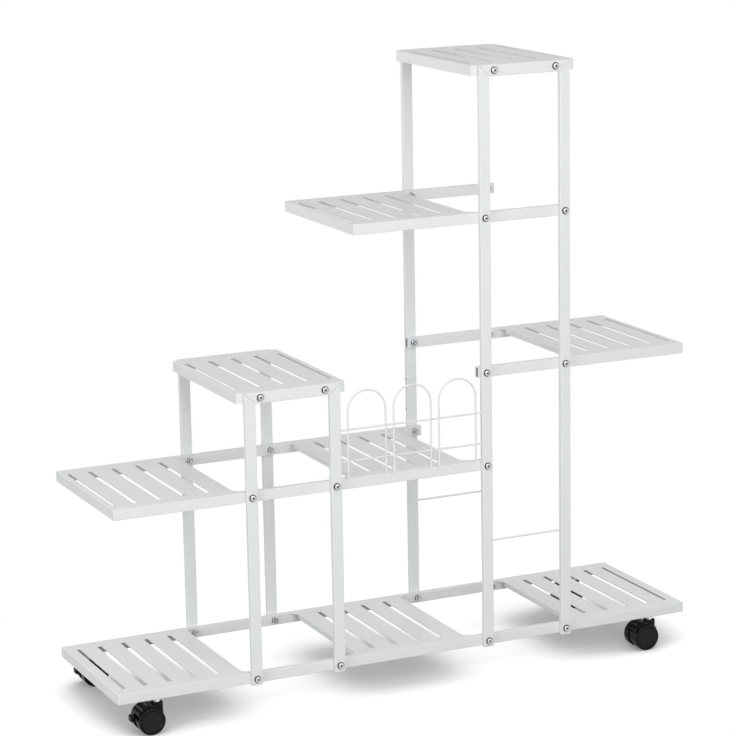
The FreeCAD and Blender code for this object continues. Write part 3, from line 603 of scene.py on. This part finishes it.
def makeWeld(name):
    s = weldSpec
    deselectAll()
    bpy.ops.mesh.primitive_uv_sphere_add(
        segments=s["segments"], ring_count=s["rings"], radius=s["radius"], location=(0, 0, 0))
    weld = named(name)
    pickFaces(weld, lambda face: True)
    bpy.ops.transform.resize(value=(1, s["flat"], s["tall"]), center_override=(0, 0, 0))
    pickFaces(weld, lambda face: abs(face.center.z) < s["drawnBand"])
    bpy.ops.transform.resize(value=(s["drawn"], 1, 1), center_override=(0, 0, 0))
    objectMode()
    weld.data.materials.append(whiteFinish)
    smoothBy(weld, s["smooth"])
    return weld


# the axes of the guard's two cross wires
wireRadius = 0.0015
wireLow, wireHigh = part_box("guard_wires")
wireY = wireLow[1] + wireRadius
wireLevels = (wireLow[2] + wireRadius, wireHigh[2] - wireRadius)
weldY = (wireLow[1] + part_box("guard_arches")[1][1]) / 2
weldSpots = [((weldSpec["archPitch"] * k + weldSpec["archHalf"] * hand, weldY, z), (0, 0, 0))
             for k in (-1, 0, 1) for hand in (-1, 1) for z in wireLevels]
scatter(makeWeld("wireWeld"), "wireWelds", weldSpots)

# thin sleeves inside the tubes, where an end or a hole shows them: bare steel in the rail ends, and
# dark painted shade in the posts' holes
liningSpec = {
    "wall": 0.00125, "deep": 0.008, "short": 0.0004, "below": 0.02, "tall": 0.08,
    "corner": 0.0006, "sheet": 0.0002, "boreRadius": 0.00155, "boreDeep": 0.0011,
    "boreSides": 24, "smooth": 40,
}


def endLining(lining, finish):
    sleeve = lining.modifiers.new("sleeve", "SOLIDIFY")
    sleeve.thickness = liningSpec["sheet"]
    sleeve.offset = -1
    applyAll(lining)
    lining.data.materials.append(finish)
    smoothBy(lining, liningSpec["smooth"])
    return lining


# a box between two corners, open at the end of an axis
def makeLining(low, high, axis, way, finish):
    lining = addBox([(a + b) / 2 for a, b in zip(low, high)], [b - a for a, b in zip(low, high)])
    pickFaces(lining, lambda face: face.normal[axis] * way > facing)
    bpy.ops.mesh.delete(type="FACE")
    bpy.ops.mesh.select_all(action="SELECT")
    bpy.ops.mesh.normals_make_consistent(inside=False)
    bpy.ops.mesh.bevel(offset=liningSpec["corner"], segments=2, affect="EDGES")
    return endLining(lining, finish)


# dark sleeve in a hole along x, painted shade that makes the hole read dark
def makeBore(centre):
    deselectAll()
    bpy.ops.mesh.primitive_cylinder_add(
        vertices=liningSpec["boreSides"], radius=liningSpec["boreRadius"],
        depth=liningSpec["boreDeep"], end_fill_type="NOTHING", location=centre,
        rotation=(0, quarter, 0))
    bore = bpy.context.object
    settle(bore)
    return endLining(bore, paintedShadeFinish)


# a node's box, made smaller by the tube wall along two axes
def insideOf(node, axes):
    low, high = (list(v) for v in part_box(node))
    for axis in axes:
        low[axis] += liningSpec["wall"]
        high[axis] -= liningSpec["wall"]
    return low, high


def makeRailLinings():
    s = liningSpec
    made = []
    for rail, way in (("middle", 1), ("right", -1), ("upper", 1)):
        for side in ("front", "rear"):
            low, high = insideOf(rail + "_rail_" + side, (1, 2))
            if way > 0:
                high[0] -= s["short"]
                low[0] = high[0] - s["deep"]
            else:
                low[0] += s["short"]
                high[0] = low[0] + s["deep"]
            made.append(makeLining(low, high, 0, way, bareFinish))
    return made


# dark sleeves in and behind the unused wire holes of the rear posts, painted shade that makes the holes
# read dark
def makePostLinings():
    s = liningSpec
    made = []
    for post, way in (("low_rear_post_right", 1), ("tall_rear_post_left", -1)):
        low, high = insideOf(post, (0, 1))
        holeX = high[0] + s["wall"] / 2 if way > 0 else low[0] - s["wall"] / 2
        for level in wireLevels:
            made.append(makeBore((holeX, -wireY, level)))
        low[2] = wireLow[2] - s["below"]
        high[2] = low[2] + s["tall"]
        made.append(makeLining(low, high, 2, 1, paintedShadeFinish))
    return made


linings = joinAs(makeRailLinings() + makePostLinings(), "tubeLinings")
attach(linings, "frame")
print("tubeLinings made")

# brake lever: a root on its pivot and a rounded tab for the foot
leverSpec = {
    "tabLong": 0.0073, "tabWide": 0.0140, "tabTall": 0.0105, "tabRound": 0.0027, "tabSteps": 4,
    "tabTip": 0.0305, "tabFoot": 0.0010, "armWide": 0.0074, "armReach": 0.0110,
    "rootRadius": 0.0025, "pivotBack": 0.0145, "pivotRise": 0.0065, "pivotRadius": 0.0013,
    "pivotLong": 0.0136, "pinSides": 32, "smooth": 35,
}


def addPin(centre, radius, length):
    deselectAll()
    bpy.ops.mesh.primitive_cylinder_add(
        vertices=leverSpec["pinSides"], radius=radius, depth=length, location=centre,
        rotation=(quarter, 0, 0))
    pin = bpy.context.object
    settle(pin)
    return pin


# drawn about the wheel axis, with the tip towards -x
def makeLever(name):
    s = leverSpec
    tab = addBox((s["tabLong"] / 2 - s["tabTip"], 0, s["tabTall"] / 2 - s["tabFoot"]),
                 (s["tabLong"], s["tabWide"], s["tabTall"]))
    pickEdges(tab, lambda a, b: True)
    bpy.ops.mesh.bevel(offset=s["tabRound"], segments=s["tabSteps"], affect="EDGES")
    pivot = (-s["pivotBack"], 0, s["pivotRise"])
    arm = addBox((pivot[0] - s["armReach"] / 2, 0, pivot[2]),
                 (s["armReach"], s["armWide"], s["rootRadius"] * 2))
    shapeWith(arm, addPin(pivot, s["rootRadius"], s["armWide"]), "UNION")
    shapeWith(arm, addPin(pivot, s["pivotRadius"], s["pivotLong"]), "UNION")
    shapeWith(tab, arm, "UNION")
    tab.name = name
    tab.data.materials.append(housingFinish)
    smoothBy(tab, s["smooth"])
    return tab


leverMaster = makeLever("lever")
for side in ("front", "rear"):
    node = "caster_" + side + "_left_lever"
    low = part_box(node)[0]
    axle = (low[0] + leverSpec["tabTip"], middleOf(node, 1), low[2] + leverSpec["tabFoot"])
    lever = copyTo(leverMaster, side + "BrakeLever", axle)
    lever.data.name = lever.name
    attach(lever, node)
    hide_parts(node)
bpy.data.objects.remove(leverMaster)
print("brake levers made")

# pale floor that fades into white, with a painted shadow under the stand from an occlusion term in its
# glow, and the light of a white room
stageSet = {
    "floorSize": 16.0, "floorLift": 0.68, "floorColour": (0.60, 0.60, 0.602, 1),
    "bounceColour": (0.45, 0.45, 0.45, 1), "skyLight": 0.49,
    "fadeStart": 0.66, "fadeEnd": 1.0, "fadeShape": (1.0, 1.7, 0.0), "paintedShadowReach": 0.22,
    "paintedShadowDark": 0.30, "paintedShadowLight": 0.94, "paintedShadowFloor": 0.26, "paintedShadowSamples": 24,
}


# 1 where the background itself is seen, also in metal, and 0 where it only lights
def seenRay(tree):
    path = addNode(tree, "ShaderNodeLightPath")
    return path["Is Camera Ray"] + path["Is Glossy Ray"] + path["Is Transmission Ray"]


def mixShaders(tree, factor, first, second):
    return addNode(tree, "ShaderNodeMixShader", None, {0: factor, 1: first, 2: second})["Shader"]


def makeFloor():
    s = stageSet
    deselectAll()
    bpy.ops.mesh.primitive_plane_add(size=s["floorSize"], location=(0, 0, 0))
    floor = named("studioFloor")
    material, tree = newFinish("paleFloor")
    flat = addNode(tree, "ShaderNodeVectorMath", {"operation": "MULTIPLY"}, {
        0: objectPoint(tree), 1: s["fadeShape"]})["Vector"]
    away = addNode(tree, "ShaderNodeVectorMath", {"operation": "LENGTH"}, {0: flat})["Value"]
    fade = addNode(tree, "ShaderNodeMapRange", {"interpolation_type": "SMOOTHSTEP"}, {
        "Value": away, "From Min": s["fadeStart"], "From Max": s["fadeEnd"]})["Result"]
    lit = addNode(tree, "ShaderNodeBsdfDiffuse", None, {"Color": s["floorColour"]})["BSDF"]
    # painted shadow: the floor's glow is darkened where the stand occludes it
    occlusionForPaintedShadow = addNode(tree, "ShaderNodeAmbientOcclusion", {"samples": s["paintedShadowSamples"]}, {
        "Distance": s["paintedShadowReach"]})["AO"]
    clear = addNode(tree, "ShaderNodeMapRange", {"interpolation_type": "SMOOTHSTEP"}, {
        "Value": occlusionForPaintedShadow, "From Min": s["paintedShadowDark"], "From Max": s["paintedShadowLight"],
        "To Min": s["paintedShadowFloor"]})["Result"]
    liftWithPaintedShadow = addNode(tree, "ShaderNodeEmission", None, {
        "Color": clear, "Strength": s["floorLift"]})["Emission"]
    near = addNode(tree, "ShaderNodeAddShader", None, {0: lit, 1: liftWithPaintedShadow})["Shader"]
    far = addNode(tree, "ShaderNodeEmission", None, {"Strength": 1.0})["Emission"]
    shown = mixShaders(tree, fade, near, far)
    plain = addNode(tree, "ShaderNodeBsdfDiffuse", None, {"Color": s["bounceColour"]})["BSDF"]
    endFinish(tree, mixShaders(tree, seenRay(tree), plain, shown))
    floor.data.materials.append(material)


def whiteSky(tree, strength):
    return addNode(tree, "ShaderNodeBackground", None, {
        "Color": (1, 1, 1, 1), "Strength": strength})["Background"]


def makeWorld():
    world = bpy.data.worlds.new("studioWhite")
    bpy.context.scene.world = world
    world.use_nodes = True
    tree = world.node_tree
    tree.nodes.clear()
    ambient = whiteSky(tree, stageSet["skyLight"])
    backdrop = whiteSky(tree, 1.0)
    addNode(tree, "ShaderNodeOutputWorld", None, {
        "Surface": mixShaders(tree, seenRay(tree), ambient, backdrop)})


lampAim = (0.0, 0.0, 0.4)
lamps = {
    "highLamp": {"place": (-0.1, -2.5, 1.6), "size": 1.5, "watts": 31.0},
    "leftLamp": {"place": (-2.7, -1.3, 0.95), "size": 1.3, "watts": 23.0},
    "backLamp": {"place": (-0.6, 2.9, 0.8), "size": 1.3, "watts": 14.0},
    "rightLamp": {"place": (2.8, 0.4, 0.8), "size": 1.3, "watts": 9.0},
}


def makeLamps():
    for name, lamp in lamps.items():
        data = bpy.data.lights.new(name, "AREA")
        data.shape = "SQUARE"
        data.size = lamp["size"]
        data.energy = lamp["watts"]
        light = bpy.data.objects.new(name, data)
        bpy.context.scene.collection.objects.link(light)
        light.location = lamp["place"]
        way = Vector(lampAim) - Vector(lamp["place"])
        light.rotation_euler = way.to_track_quat("-Z", "Y").to_euler()


# fitted to the photograph: metres, degrees and millimetres
photoCamera = {
    "place": (-1.82170, -3.93068, 1.46053), "turn": (77.4838, 1.0326, -24.9754),
    "lens": 134.889, "sensor": 36.0, "farthest": 60.0,
}


def makeCamera():
    data = bpy.data.cameras.new("photoCamera")
    data.sensor_width = photoCamera["sensor"]
    data.lens = photoCamera["lens"]
    data.clip_end = photoCamera["farthest"]
    camera = bpy.data.objects.new("photoCamera", data)
    bpy.context.scene.collection.objects.link(camera)
    camera.location = photoCamera["place"]
    camera.rotation_euler = [math.radians(a) for a in photoCamera["turn"]]
    bpy.context.scene.camera = camera


makeFloor()
makeWorld()
makeLamps()
makeCamera()
bpy.context.scene.view_settings.view_transform = "Standard"
print("stage ready")
